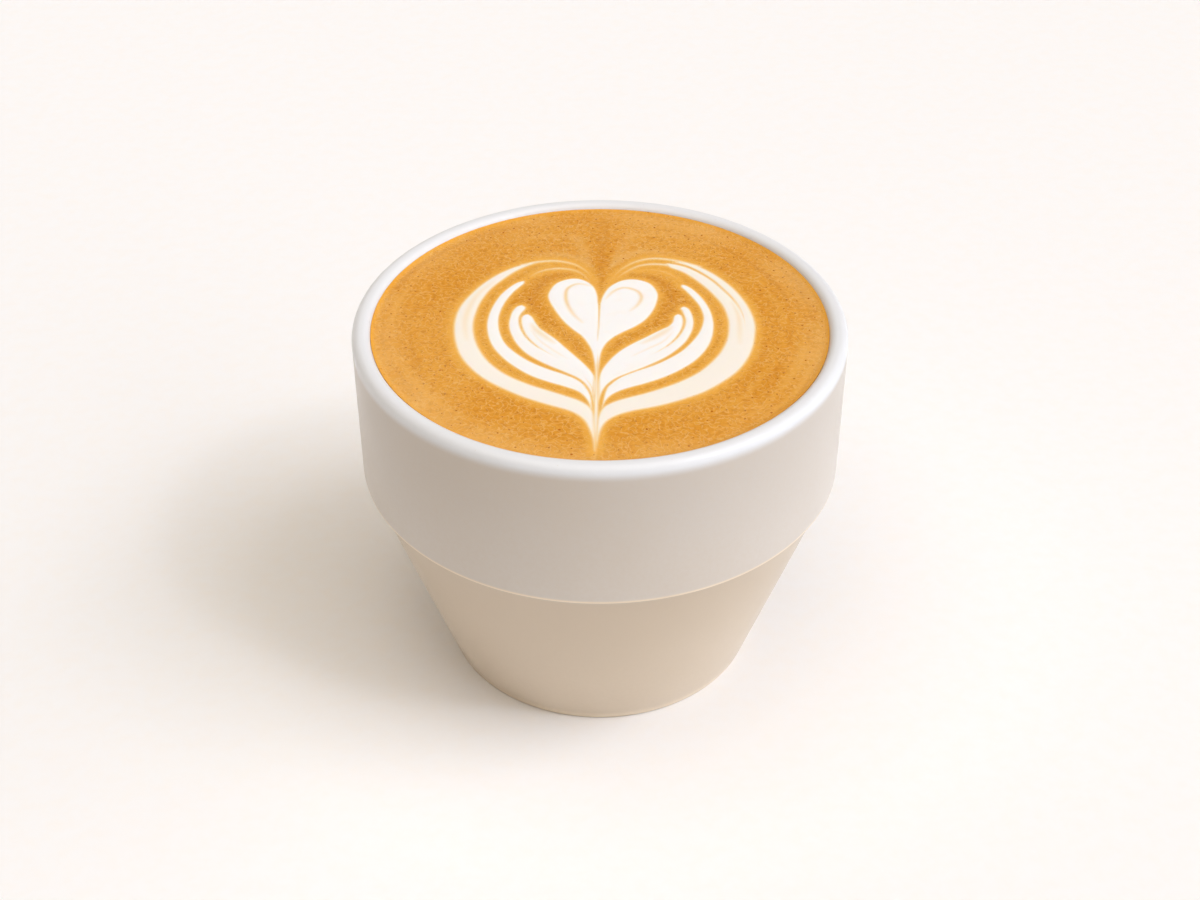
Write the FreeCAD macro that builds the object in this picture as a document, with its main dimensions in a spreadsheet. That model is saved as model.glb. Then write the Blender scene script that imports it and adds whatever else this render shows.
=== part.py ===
"""A latte in a handleless two-step cup, as a parametric FreeCAD document in millimetres.

The cup is one turned piece of glazed stoneware: a straight band above a tapered foot. The coffee
fills it almost to the lip, and milk foam floats in its surface as one poured figure: a heart
inside three leaves, all joined by the stem that the last stroke of the pour drew through them.
+Z is up, and the origin is the centre of the foot's resting plane.
"""

import FreeCAD, Part
import Sketcher
import math
import os

PARTS_FOLDER = "parts"

# Driving sizes: alias, value and meaning. They are millimetres where the note gives no other unit.
SIZES = (
    ("rim_radius", 45.0, "outer radius of the straight band and of the lip"),
    ("cup_height", 71.8, "table to the top of the lip"),
    ("band_height", 29.3, "height of the straight band"),
    ("wall", 3.5, "thickness of the band's wall"),
    ("lip_flat", 0.3, "width left flat on top of the rounded lip"),
    ("band_ledge", 0.9, "overhang of the band over the tapered foot"),
    ("band_edge_round", 0.5, "rounding of the band's lower edge"),
    ("foot_radius", 30.0, "radius of the taper where it meets the table"),
    ("foot_round", 0.8, "rounding of the foot ring's outer edge"),
    ("taper_wall", 4.1, "thickness of the tapered wall, measured level"),
    ("foot_ring_width", 3.6, "width of the ring that the cup stands on"),
    ("foot_recess", 1.8, "depth of the hollow inside the foot ring"),
    ("recess_round", 0.7, "rounding of the foot ring's inner edge"),
    ("floor_thickness", 4.6, "thickness of the cup's floor"),
    ("floor_round", 9.0, "rounding inside, between the floor and the taper"),
    ("shoulder_round", 8.0, "rounding inside, between the taper and the band"),
    ("headspace", 1.15, "top of the lip down to the level of the coffee"),
    ("meniscus_reach", 1.1, "width of the coffee's edge that climbs the wall"),
    ("meniscus_rise", 0.35, "height of the coffee's edge that climbs the wall"),
    ("crema_margin", 13.9, "clear crema beside the milk figure"),
    ("foam_depth", 2.0, "thickness of the floating milk foam"),
    ("draw_length", 9.0, "how far the last stroke drags the milk"),
    ("draw_width", 2.6, "distance beside the stroke over which the drag fades"),
    ("stem_width", 1.4, "width of the stem that the last stroke leaves"),
    ("figure_turn", -1.5, "degrees by which the figure is turned in the cup"),
)

# The milk's shores before the last stroke: rounded outlines, as shares of the figure's half width.
# Each has its centre across and along the figure, its half width, and its reach towards the drinker.
SHORES = {
    "outer_leaf_outside": (0.025, -0.036, 1.000, 0.890),
    "outer_leaf_inside": (0.010, 0.000, 0.838, 0.785),
    "middle_leaf_outside": (0.008, 0.000, 0.749, 0.700),
    "middle_leaf_inside": (0.006, 0.040, 0.678, 0.590),
    "inner_leaf_outside": (0.010, -0.030, 0.600, 0.470),
    "inner_leaf_inside": (0.020, 0.120, 0.450, 0.370),
    "heart": (0.015, 0.300, 0.371, 0.330),
}
SHORE_FIELDS = ("across", "along", "half", "reach")

# Where each leaf's two tips stand, in degrees above the figure's level line.
LEAF_TIPS = {"outer_leaf": 58.0, "middle_leaf": 46.0, "inner_leaf": 12.0}

TIP_BULGE = 0.4  # how far a leaf's round tip stands out, as a share of the leaf's width there
HALF_STEPS = 20  # stretches of the spline along half a shore
SAME_PLACE = 0.001  # millimetres within which an edge counts as lying at a corner
SHORE_RISE = 0.9  # height of a shore above its centre, as a share of its half width


def make_sheet(doc):
    """Writes every size to one sheet and returns it."""
    sheet = doc.addObject("Spreadsheet::Sheet", "sizes")
    rows = list(SIZES)
    for shore, values in SHORES.items():
        rows += [(f"{shore}_{field}", value, "share") for field, value in zip(SHORE_FIELDS, values)]
    rows += [(f"{leaf}_tip", angle, "degrees") for leaf, angle in LEAF_TIPS.items()]
    for number, (alias, value, note) in enumerate(rows, start=1):
        sheet.set(f"A{number}", alias)
        sheet.set(f"B{number}", str(value))
        sheet.set(f"C{number}", note)
        sheet.setAlias(f"B{number}", alias)
    doc.recompute()
    return sheet


# Places that the cup and the coffee share, as expressions over the sheet.
INNER_RADIUS = "(sizes.rim_radius - sizes.wall)"
BAND_FOOT = "(sizes.cup_height - sizes.band_height)"
TAPER_TOP = "(sizes.rim_radius - sizes.band_ledge)"
TAPER_SLOPE = f"(({TAPER_TOP} - sizes.foot_radius) / {BAND_FOOT})"
FLOOR_LEVEL = "(sizes.foot_recess + sizes.floor_thickness)"
FLOOR_RADIUS = f"(sizes.foot_radius - sizes.taper_wall + {TAPER_SLOPE} * {FLOOR_LEVEL})"
SHOULDER_LEVEL = f"(({INNER_RADIUS} - sizes.foot_radius + sizes.taper_wall) / {TAPER_SLOPE})"
RECESS_RADIUS = "(sizes.foot_radius - sizes.foot_ring_width)"
COFFEE_LEVEL = "(sizes.cup_height - sizes.headspace)"
MENISCUS_START = f"({INNER_RADIUS} - sizes.meniscus_reach)"
MENISCUS_TOP = f"({COFFEE_LEVEL} + sizes.meniscus_rise)"

# Corners of the cup's half profile: name, distance from the axis and height.
CUP_CORNERS = (
    ("underside", "0", "sizes.foot_recess"),
    ("recess", RECESS_RADIUS, "sizes.foot_recess"),
    ("ring_inner", RECESS_RADIUS, "0"),
    ("ring_outer", "sizes.foot_radius", "0"),
    ("taper_top", TAPER_TOP, BAND_FOOT),
    ("band_foot", "sizes.rim_radius", BAND_FOOT),
    ("lip_outer", "sizes.rim_radius", "sizes.cup_height"),
    ("lip_inner", INNER_RADIUS, "sizes.cup_height"),
    ("shoulder", INNER_RADIUS, SHOULDER_LEVEL),
    ("floor_edge", FLOOR_RADIUS, FLOOR_LEVEL),
    ("floor_middle", "0", FLOOR_LEVEL),
)

# Corners of the coffee's half profile. The stretch after meniscus_start is an arc.
COFFEE_CORNERS = (
    ("floor_middle", "0", FLOOR_LEVEL),
    ("surface_middle", "0", COFFEE_LEVEL),
    ("meniscus_start", MENISCUS_START, COFFEE_LEVEL),
    ("meniscus_top", INNER_RADIUS, MENISCUS_TOP),
    ("shoulder", INNER_RADIUS, SHOULDER_LEVEL),
    ("floor_edge", FLOOR_RADIUS, FLOOR_LEVEL),
)

# Rounded corners of each profile, as the size that holds the radius and the corners it rounds.
CUP_ROUNDS = (
    ("lip_round", "(sizes.wall - sizes.lip_flat) / 2", ("lip_outer", "lip_inner")),
    ("band_edge_round", "sizes.band_edge_round", ("band_foot",)),
    ("foot_round", "sizes.foot_round", ("ring_outer",)),
    ("recess_round", "sizes.recess_round", ("ring_inner",)),
)
INNER_ROUNDS = (
    ("shoulder_round", "sizes.shoulder_round", ("shoulder",)),
    ("floor_round", "sizes.floor_round", ("floor_edge",)),
)


def hold_corner(sketch, curve, label, across, up):
    """Holds a curve's start at a place given by two expressions, or on an axis where one is 0."""
    for kind, expression, axis in (("DistanceX", across, -2), ("DistanceY", up, -1)):
        if expression == "0":
            sketch.addConstraint(Sketcher.Constraint("PointOnObject", curve, 1, axis))
            continue
        distance = float(sketch.evalExpression(expression))
        number = sketch.addConstraint(Sketcher.Constraint(kind, -1, 1, curve, 1, distance))
        name = f"{label}_{kind}"
        sketch.renameConstraint(number, name)
        sketch.setExpression(f"Constraints.{name}", expression)


def meniscus_arc(start, end):
    """Returns the arc that leaves the level surface at start and climbs to end."""
    reach = end.x - start.x
    rise = end.y - start.y
    radius = (reach**2 + rise**2) / (2 * rise)
    centre = FreeCAD.Vector(start.x, start.y + radius, 0)
    circle = Part.Circle(centre, FreeCAD.Vector(0, 0, 1), radius)
    return Part.ArcOfCircle(circle, 1.5 * math.pi, 1.5 * math.pi + math.asin(reach / radius))


def sketch_half_profile(body, name, corners, arc_after=None):
    """Sketches a closed half profile on the body's XZ plane, with every corner held by the sheet.

    The stretch after the corner named arc_after is an arc tangent to the stretch before it.
    """
    sketch = body.newObject("Sketcher::SketchObject", name)
    plane = next(feature for feature in body.Origin.OriginFeatures if feature.Role == "XZ_Plane")
    sketch.AttachmentSupport = [(plane, "")]
    sketch.MapMode = "FlatFace"
    labels = [label for label, _, _ in corners]
    arc = labels.index(arc_after) if arc_after else None
    places = [
        FreeCAD.Vector(float(sketch.evalExpression(across)), float(sketch.evalExpression(up)), 0)
        for _, across, up in corners
    ]
    followers = places[1:] + places[:1]
    for number, (start, end) in enumerate(zip(places, followers)):
        curve = meniscus_arc(start, end) if number == arc else Part.LineSegment(start, end)
        sketch.addGeometry(curve, False)
    for number in range(len(corners)):
        follower = (number + 1) % len(corners)
        kind = "Tangent" if follower == arc else "Coincident"
        sketch.addConstraint(Sketcher.Constraint(kind, number, 2, follower, 1))
    for number, corner in enumerate(corners):
        hold_corner(sketch, number, *corner)
    return sketch


def turn_profile(body, sketch):
    """Turns a half profile once round the sketch's upright axis and returns the feature."""
    turned = body.newObject("PartDesign::Revolution", f"{sketch.Name}_turned")
    turned.Profile = sketch
    turned.ReferenceAxis = (sketch, ["V_Axis"])
    turned.Angle = 360.0
    sketch.Visibility = False
    body.Document.recompute()
    return turned


def edges_at(feature, radius, height):
    """Names the feature's circular edges of a given radius and height."""
    names = []
    for number, edge in enumerate(feature.Shape.Edges, start=1):
        curve = edge.Curve
        if not isinstance(curve, Part.Circle):
            continue
        if math.dist((curve.Radius, curve.Center.z), (radius, height)) < SAME_PLACE:
            names.append(f"Edge{number}")
    return names


def round_corners(body, feature, corners, rounds):
    """Rounds the turned corners of a profile, one Fillet for each radius, and returns the last."""
    place_of = {label: (across, up) for label, across, up in corners}
    for name, radius, labels in rounds:
        edges = []
        for label in labels:
            across, up = (float(body.evalExpression(expression)) for expression in place_of[label])
            found = edges_at(feature, across, up)
            if len(found) != 1:
                raise RuntimeError(f"{len(found)} edges of {body.Label} are at {label}")
            edges += found
        fillet = body.newObject("PartDesign::Fillet", f"{body.Name}_{name}")
        fillet.Base = (feature, edges)
        fillet.setExpression("Radius", radius)
        body.Tip = fillet
        body.Document.recompute()
        feature = fillet
    return feature


def make_turned_body(doc, label, corners, rounds, arc_after=None):
    """Builds one turned piece, as a body with a sketch, a Revolution and its Fillets."""
    body = doc.addObject("PartDesign::Body", label)
    body.Label = label
    sketch = sketch_half_profile(body, f"{label}_profile", corners, arc_after)
    round_corners(body, turn_profile(body, sketch), corners, rounds)
    return body


class MilkFigure:
    """The poured figure's outlines, worked out from the sheet in the plane of the surface."""

    def __init__(self, sheet):
        """Reads the figure's overall size."""
        self.sheet = sheet
        self.half_width = sheet.rim_radius - sheet.wall - sheet.crema_margin

    def dragged(self, x, y):
        """Returns a place after the last stroke has pulled it towards the drinker."""
        drag = self.sheet.draw_length * math.exp(-abs(x) / self.sheet.draw_width)
        return FreeCAD.Vector(x, y - drag, 0)

    def shore_curve(self, shore, side, top):
        """Returns the spline along one side of a shore, from its lowest point up to an angle.

        Side is 1 on the right and -1 on the left, and top is in degrees above the shore's centre.
        The spline's points stand closer together at its ends, where the drag bends it most.
        """
        across, along, half, reach = (getattr(self.sheet, f"{shore}_{field}") for field in SHORE_FIELDS)
        points = []
        for step in range(HALF_STEPS + 1):
            share = (1 - math.cos(math.pi * step / HALF_STEPS)) / 2
            angle = math.radians(-90 + (90 + top) * share)
            height = half * SHORE_RISE if angle > 0 else reach
            x = side * (half + side * across) * math.cos(angle)
            y = along + height * math.sin(angle)
            points.append(self.dragged(self.half_width * x, self.half_width * y))
        curve = Part.BSplineCurve()
        curve.interpolate(points)
        return curve

    def slab(self, curves):
        """Returns the foam inside a closed run of curves, as deep as the foam floats."""
        face = Part.Face(Part.Wire([curve.toShape() for curve in curves]))
        return face.extrude(FreeCAD.Vector(0, 0, -self.sheet.foam_depth))

    def leaf(self, name):
        """Returns one leaf: the crescent between its two shores, with a round tip on each side."""
        top = getattr(self.sheet, f"{name}_tip")
        sides = []
        for side in (1, -1):
            outside = self.shore_curve(f"{name}_outside", side, top)
            inside = self.shore_curve(f"{name}_inside", side, top)
            sides.append((outside, inside, round_tip(outside, inside)))
        (right_out, right_in, right_tip), (left_out, left_in, left_tip) = sides
        return self.slab([right_out, right_tip, right_in, left_in, left_tip, left_out])

    def heart(self):
        """Returns the heart, whose two lobes meet in the cleft that the stroke leaves."""
        return self.slab([self.shore_curve("heart", 1, 90), self.shore_curve("heart", -1, 90)])

    def stem(self):
        """Returns the thin stem that joins the heart to the tail of the outer leaf."""
        width = self.sheet.stem_width
        heart_foot = self.shore_curve("heart", 1, 0).StartPoint.y
        tail = self.shore_curve("outer_leaf_outside", 1, 0).StartPoint.y
        start = FreeCAD.Vector(-width / 2, tail + self.sheet.draw_width, -self.sheet.foam_depth)
        length = heart_foot + self.sheet.draw_width - start.y
        return Part.makeBox(width, length, self.sheet.foam_depth, start)

    def solid(self):
        """Returns the whole figure as one solid, with its top in the plane z = 0."""
        leaves = [self.leaf(name) for name in LEAF_TIPS]
        return self.heart().fuse([*leaves, self.stem()]).removeSplitter().Solids[0]


def round_tip(outside, inside):
    """Returns the arc that closes a leaf between the ends of its two shores."""
    outer, inner = outside.EndPoint, inside.EndPoint
    _, direction = outside.getD1(outside.LastParameter)
    stands_out = (outer - inner).Length * TIP_BULGE
    middle = (outer + inner) / 2 + direction.normalize() * stands_out
    return Part.Arc(outer, middle, inner)


def make_milk(doc, sheet):
    """Adds the milk figure, floating with its top in the coffee's level surface."""
    milk = doc.addObject("Part::Feature", "milk_figure")
    milk.Label = "milk_figure"
    milk.Shape = MilkFigure(sheet).solid()
    level = FreeCAD.Vector(0, 0, sheet.cup_height - sheet.headspace)
    milk.Placement = FreeCAD.Placement(level, FreeCAD.Rotation(FreeCAD.Vector(0, 0, 1), sheet.figure_turn))
    return milk


def make_coffee(doc, milk):
    """Adds the coffee: the drink inside the cup, less the room that the floating milk takes."""
    drink = make_turned_body(doc, "drink", COFFEE_CORNERS, INNER_ROUNDS, arc_after="meniscus_start")
    coffee = doc.addObject("Part::Cut", "coffee")
    coffee.Label = "coffee"
    coffee.Base = drink
    coffee.Tool = milk
    return coffee


def check_document(doc, pieces):
    """Stops the build unless every object is sound and every piece is one valid solid."""
    for item in doc.Objects:
        if {"Invalid", "Error"} & set(item.State):
            raise RuntimeError(f"{item.Label} failed: {item.State}")
    for piece in pieces:
        shape = piece.Shape
        if shape.isNull() or not shape.isValid() or len(shape.Solids) != 1:
            raise RuntimeError(f"{piece.Label} is not one valid solid")


def main():
    """Builds the latte, checks it and writes one STEP file for each piece."""
    doc = FreeCAD.newDocument("latte")
    sheet = make_sheet(doc)
    cup = make_turned_body(doc, "cup", CUP_CORNERS, CUP_ROUNDS + INNER_ROUNDS)
    milk = make_milk(doc, sheet)
    coffee = make_coffee(doc, milk)
    doc.recompute()
    pieces = (cup, coffee, milk)
    check_document(doc, pieces)
    os.makedirs(PARTS_FOLDER, exist_ok=True)
    for piece in pieces:
        piece.Shape.exportStep(os.path.join(PARTS_FOLDER, f"{piece.Label}.step"))
        box = piece.Shape.BoundBox
        print(
            f"{piece.Label}: {piece.Shape.Volume / 1000:.1f} ml,",
            f"{box.XLength:.1f} x {box.YLength:.1f} x {box.ZLength:.1f} mm",
        )


main()
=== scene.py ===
"""The looks of a latte: a glazed two-step cup, filled to the lip with crema and a poured milk figure.

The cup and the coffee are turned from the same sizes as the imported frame, and the milk figure is
drawn on the coffee as smooth outlines that are stored as attributes of its mesh. Lengths are in
millimetres, except where a name ends in metres, and become metres when a mesh is made.
"""

from __future__ import annotations

import logging
import math
from dataclasses import dataclass, field
from enum import Enum

import bpy
import numpy as np
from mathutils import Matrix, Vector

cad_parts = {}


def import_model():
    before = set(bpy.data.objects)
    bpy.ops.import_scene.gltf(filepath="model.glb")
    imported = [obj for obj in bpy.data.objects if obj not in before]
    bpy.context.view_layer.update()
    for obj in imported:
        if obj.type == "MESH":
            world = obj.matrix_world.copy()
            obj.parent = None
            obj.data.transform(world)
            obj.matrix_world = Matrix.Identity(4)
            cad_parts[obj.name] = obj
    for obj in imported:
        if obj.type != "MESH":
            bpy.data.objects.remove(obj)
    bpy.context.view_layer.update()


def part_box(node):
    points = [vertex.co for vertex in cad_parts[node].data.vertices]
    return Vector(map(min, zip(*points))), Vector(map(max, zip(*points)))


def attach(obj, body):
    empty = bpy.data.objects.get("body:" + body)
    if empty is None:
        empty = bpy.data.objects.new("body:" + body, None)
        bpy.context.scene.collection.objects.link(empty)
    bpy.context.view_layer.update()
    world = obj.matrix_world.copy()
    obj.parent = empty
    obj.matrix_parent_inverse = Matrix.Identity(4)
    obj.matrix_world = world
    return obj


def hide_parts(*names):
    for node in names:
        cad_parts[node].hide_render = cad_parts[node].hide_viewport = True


LOG = logging.getLogger("latte")
METRE = 0.001
WELD_METRES = 0.000001
SMALLEST = 1e-12
NOISE_MIDDLE = 0.5
DAYLIGHT = (0.94, 0.985, 1.09)
ROOT_BODY = "root"
Socket = bpy.types.NodeSocket
Point = tuple[float, float]
WidePoint = tuple[float, float, float]


class CadNode(str, Enum):
    """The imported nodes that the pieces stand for."""

    CUP = "cup"
    COFFEE = "coffee"
    MILK = "milk_figure"


class Slot(str, Enum):
    """The record's material slots."""

    GLAZE = "cup_glaze"
    COFFEE = "coffee"


class Tint(Enum):
    """Every colour, as red, green and blue on the display scale from 0 to 255."""

    GLAZE = (218, 210, 201)
    GLAZE_HIGH = (209, 201, 192)
    # Whiter lip: painted light where the lip faces up to the lamps.
    GLAZE_LIT_LIP = (236, 238, 241)
    # Thin glaze with painted light: the bright lines at the band's edge and at the foot. On the clay and the
    # table it is a plain pale warm tone.
    GLAZE_THIN_AND_LIT = (248, 231, 206)
    # Taper colours, from under the ledge down to the foot: painted shade under the ledge and painted warm
    # bounce from the table. The first also tints random mottles in the glaze and rubbed patches on the clay.
    GLAZE_SHADE_AND_MOTTLE = (211, 194, 172)
    GLAZE_LOW = (226, 210, 188)
    CLAY = (206, 186, 160)
    CREMA = (225, 152, 42)
    CREMA_DARK = (202, 126, 34)
    CREMA_LIGHT = (239, 177, 82)
    CREMA_PALE = (245, 196, 120)
    CREMA_RIM = (243, 172, 60)
    HALO = (247, 186, 84)
    SHORE = (252, 220, 160)
    CREAM = (253, 243, 228)
    MILK = (255, 254, 253)
    VEIN = (248, 214, 156)
    BUBBLE = (190, 98, 14)
    TABLE = (252, 252, 253)
    HORIZON = (252, 247, 243)

    def linear(self) -> tuple[float, float, float, float]:
        """Returns the colour as the renderer counts light, with an alpha of one."""
        shares = (channel / 255 for channel in self.value)
        red, green, blue = (s / 12.92 if s <= 0.04045 else ((s + 0.055) / 1.055) ** 2.4 for s in shares)
        return red, green, blue, 1.0


@dataclass(frozen=True)
class Patches:
    """Noise as a share: how fine it is, the noise it runs between and the share at either end."""

    per_metre: float
    low: float = 0.3
    high: float = 0.7
    most: float = 1.0
    least: float = 0.0
    detail: float = 3.0
    rough: float = 0.55


@dataclass(frozen=True)
class Dots:
    """Scattered dots: how close they stand, and where each starts and is full, in its cell."""

    per_metre: float
    edge: float
    core: float
    most: float = 1.0


@dataclass(frozen=True)
class Relief:
    """Noise as relief, with its depth in metres."""

    per_metre: float
    depth_metres: float
    strength: float
    detail: float = 3.0


class TreeSketch:
    """Adds nodes to a tree with short calls."""

    def __init__(self, tree: bpy.types.NodeTree) -> None:
        """Takes the tree that is being built."""
        self.tree = tree

    def node(self, kind: str, inputs: dict | None = None, **settings: object) -> bpy.types.Node:
        """Adds a node.

        Args:
            kind: The node's type name.
            inputs: Sockets, tints or plain values for its inputs, by name or number.
            settings: Properties of the node itself.

        Returns:
            The new node.
        """
        node = self.tree.nodes.new(kind)
        for name, value in settings.items():
            setattr(node, name, value)
        for name, value in (inputs or {}).items():
            if isinstance(value, Socket):
                self.tree.links.new(value, node.inputs[name])
            else:
                node.inputs[name].default_value = value.linear() if isinstance(value, Tint) else value
        return node

    def first(self, kind: str, inputs: dict | None = None, **settings: object) -> Socket:
        """Adds a node and returns its first output."""
        return self.node(kind, inputs, **settings).outputs[0]

    def math(self, operation: str, first: object, second: object = 0.0) -> Socket:
        """Adds a Math node and returns its output."""
        return self.first("ShaderNodeMath", {0: first, 1: second}, operation=operation)

    def flatten(self, place: Socket) -> Socket:
        """Returns the place brought down to the ground plane."""
        return self.first("ShaderNodeVectorMath", {0: place, 1: (1.0, 1.0, 0.0)}, operation="MULTIPLY")

    def length(self, vector: Socket) -> Socket:
        """Returns a vector's length."""
        return self.node("ShaderNodeVectorMath", {0: vector}, operation="LENGTH").outputs["Value"]


class ShaderSketch(TreeSketch):
    """Builds one material with short calls."""

    def __init__(self, name: str) -> None:
        """Starts an empty material that is patterned in its object's own frame, in metres."""
        self.material = bpy.data.materials.new(name)
        self.material.use_nodes = True
        super().__init__(self.material.node_tree)
        self.tree.nodes.clear()
        self.output = self.tree.nodes.new("ShaderNodeOutputMaterial")
        self.place = self.node("ShaderNodeTexCoord").outputs["Object"]

    def mix(self, share: object, base: object, over: object) -> Socket:
        """Mixes a second colour over a first and returns the result."""
        return self.node("ShaderNodeMix", {0: share, 6: base, 7: over}, data_type="RGBA").outputs[2]

    def span(self, value: object, low: float, high: float, least: float = 0.0, most: float = 1.0) -> Socket:
        """Maps a value smoothly from one range to another and returns the result."""
        inputs = {0: value, 1: low, 2: high, 3: least, 4: most}
        return self.first("ShaderNodeMapRange", inputs, interpolation_type="SMOOTHSTEP")

    def attribute(self, name: str) -> Socket:
        """Reads one of the mesh's own numbers."""
        return self.node("ShaderNodeAttribute", attribute_name=name).outputs["Fac"]

    def noise(self, per_metre: float, detail: float, rough: float, at: Socket | None = None) -> Socket:
        """Adds a Noise node.

        Args:
            per_metre: Features in each metre.
            detail: Finer and finer layers in the noise.
            rough: How strong the finer layers are.
            at: Where the noise is read, when not at the object's own point.

        Returns:
            The noise, from 0 to 1.
        """
        vector = self.place if at is None else at
        inputs = {"Vector": vector, "Scale": per_metre, "Detail": detail, "Roughness": rough}
        return self.first("ShaderNodeTexNoise", inputs)

    def patches(self, kind: Patches, at: Socket | None = None) -> Socket:
        """Returns the share of soft patches, read at the object's own point or at another."""
        noise = self.noise(kind.per_metre, kind.detail, kind.rough, at)
        return self.span(noise, kind.low, kind.high, kind.least, kind.most)

    def dots(self, kind: Dots) -> Socket:
        """Returns the share of scattered dots."""
        cells = self.node("ShaderNodeTexVoronoi", {"Vector": self.place, "Scale": kind.per_metre})
        return self.span(cells.outputs["Distance"], kind.edge, kind.core, 0.0, kind.most)

    def bump(self, height: Socket, depth: float, strength: float, under: Socket | None = None) -> Socket:
        """Turns a height into a normal.

        Args:
            height: The height at the point.
            depth: Metres that a height of one stands for.
            strength: Share of the relief that shows.
            under: A normal that lies under the relief.

        Returns:
            The normal.
        """
        inputs = {"Height": height, "Distance": depth, "Strength": strength}
        if under is not None:
            inputs["Normal"] = under
        return self.first("ShaderNodeBump", inputs)

    def relief(self, kind: Relief, under: Socket | None = None) -> Socket:
        """Returns a normal with relief in it."""
        noise = self.noise(kind.per_metre, kind.detail, Patches.rough)
        return self.bump(noise, kind.depth_metres, kind.strength, under)

    def finish(self, inputs: dict) -> bpy.types.Material:
        """Adds the surface shader with its inputs and returns the finished material."""
        self.tree.links.new(self.first("ShaderNodeBsdfPrincipled", inputs), self.output.inputs[0])
        return self.material


@dataclass(frozen=True)
class GlazeFinish:
    """White glaze over stoneware, satin: a whiter lip in painted light, thin warm edges with painted
    highlights, and a warmer taper in painted shade and warm bounce.
    """

    band_foot: float
    foot_top: float
    lip_top: float
    taper_blend: float = 1.5
    lip_reach: float = 2.9
    lip_full: float = 0.9
    edge_rise: float = 0.35
    edge_reach: float = 0.55
    foot_full: float = 0.3
    foot_share: float = 0.9
    cloud: Patches = Patches(28.0, 0.3, 0.8, 0.22, detail=2.0)
    grain: Patches = Patches(1300.0, 0.3, 0.75, 0.14)
    specks: Dots = Dots(420.0, 0.055, 0.02, 0.25)
    roughness: Patches = Patches(60.0, most=0.39, least=0.3)
    waves: Relief = Relief(55.0, 0.0004, 0.12, 2.0)
    orange_peel: Relief = Relief(900.0, 0.00004, 0.12, 2.0)

    def material(self) -> bpy.types.Material:
        """Returns the glaze."""
        sketch = ShaderSketch("stoneware_glaze")
        height = sketch.node("ShaderNodeSeparateXYZ", {0: sketch.place}).outputs[2]
        band_foot = self.band_foot * METRE
        lip_top = self.lip_top * METRE
        band = sketch.mix(sketch.span(height, lip_top, band_foot), Tint.GLAZE_HIGH, Tint.GLAZE)
        # Painted shade and warm bounce on the taper: darker and warmer than the band, darkest just under the
        # ledge.
        taper = sketch.mix(sketch.span(height, band_foot, 0.0), Tint.GLAZE_SHADE_AND_MOTTLE, Tint.GLAZE_LOW)
        base = sketch.mix(sketch.span(height, band_foot, band_foot - self.taper_blend * METRE), band, taper)
        base = sketch.mix(sketch.patches(self.cloud), base, Tint.GLAZE_SHADE_AND_MOTTLE)
        base = sketch.mix(sketch.patches(self.grain), base, Tint.GLAZE_SHADE_AND_MOTTLE)
        # Painted light on the lip: whiter where it faces up to the lamps.
        lit_lip = sketch.span(height, lip_top - self.lip_reach * METRE, lip_top - self.lip_full * METRE)
        base = sketch.mix(lit_lip, base, Tint.GLAZE_LIT_LIP)
        # Bright warm line at the band's lower edge: partly thin glaze, partly a painted highlight on the
        # downward-facing rounding.
        edge = sketch.math("ABSOLUTE", sketch.math("SUBTRACT", height, band_foot + self.edge_rise * METRE))
        base = sketch.mix(sketch.span(edge, self.edge_reach * METRE, 0.0), base, Tint.GLAZE_THIN_AND_LIT)
        # Lighter band round the foot: partly thin glaze, partly painted light where the rounded foot catches
        # the table's bounce.
        foot = sketch.span(height, self.foot_top * METRE, self.foot_full * METRE, 0.0, self.foot_share)
        base = sketch.mix(foot, base, Tint.GLAZE_THIN_AND_LIT)
        base = sketch.mix(sketch.dots(self.specks), base, Tint.CLAY)
        return sketch.finish({
            "Base Color": base,
            "Roughness": sketch.patches(self.roughness),
            "Normal": sketch.relief(self.orange_peel, sketch.relief(self.waves)),
            "IOR": 1.5,
            "Specular IOR Level": 0.26,
            "Coat Weight": 0.22,
            "Coat Roughness": 0.05,
        })


@dataclass(frozen=True)
class ClayFinish:
    """Bare fired clay, on the ring that the cup stands on."""

    grain: Patches = Patches(2600.0, 0.35, detail=4.0)
    rub: Patches = Patches(120.0, 0.45, 0.75, 0.5)
    roughness: Patches = Patches(2600.0, 0.2, 0.8, 0.92, 0.75, detail=4.0)
    grit: Relief = Relief(2600.0, 0.0001, 0.4, 4.0)

    def material(self) -> bpy.types.Material:
        """Returns the clay."""
        sketch = ShaderSketch("bare_clay")
        base = sketch.mix(sketch.patches(self.grain), Tint.CLAY, Tint.GLAZE_THIN_AND_LIT)
        return sketch.finish({
            "Base Color": sketch.mix(sketch.patches(self.rub), base, Tint.GLAZE_SHADE_AND_MOTTLE),
            "Roughness": sketch.patches(self.roughness),
            "Normal": sketch.relief(self.grit),
        })


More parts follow.
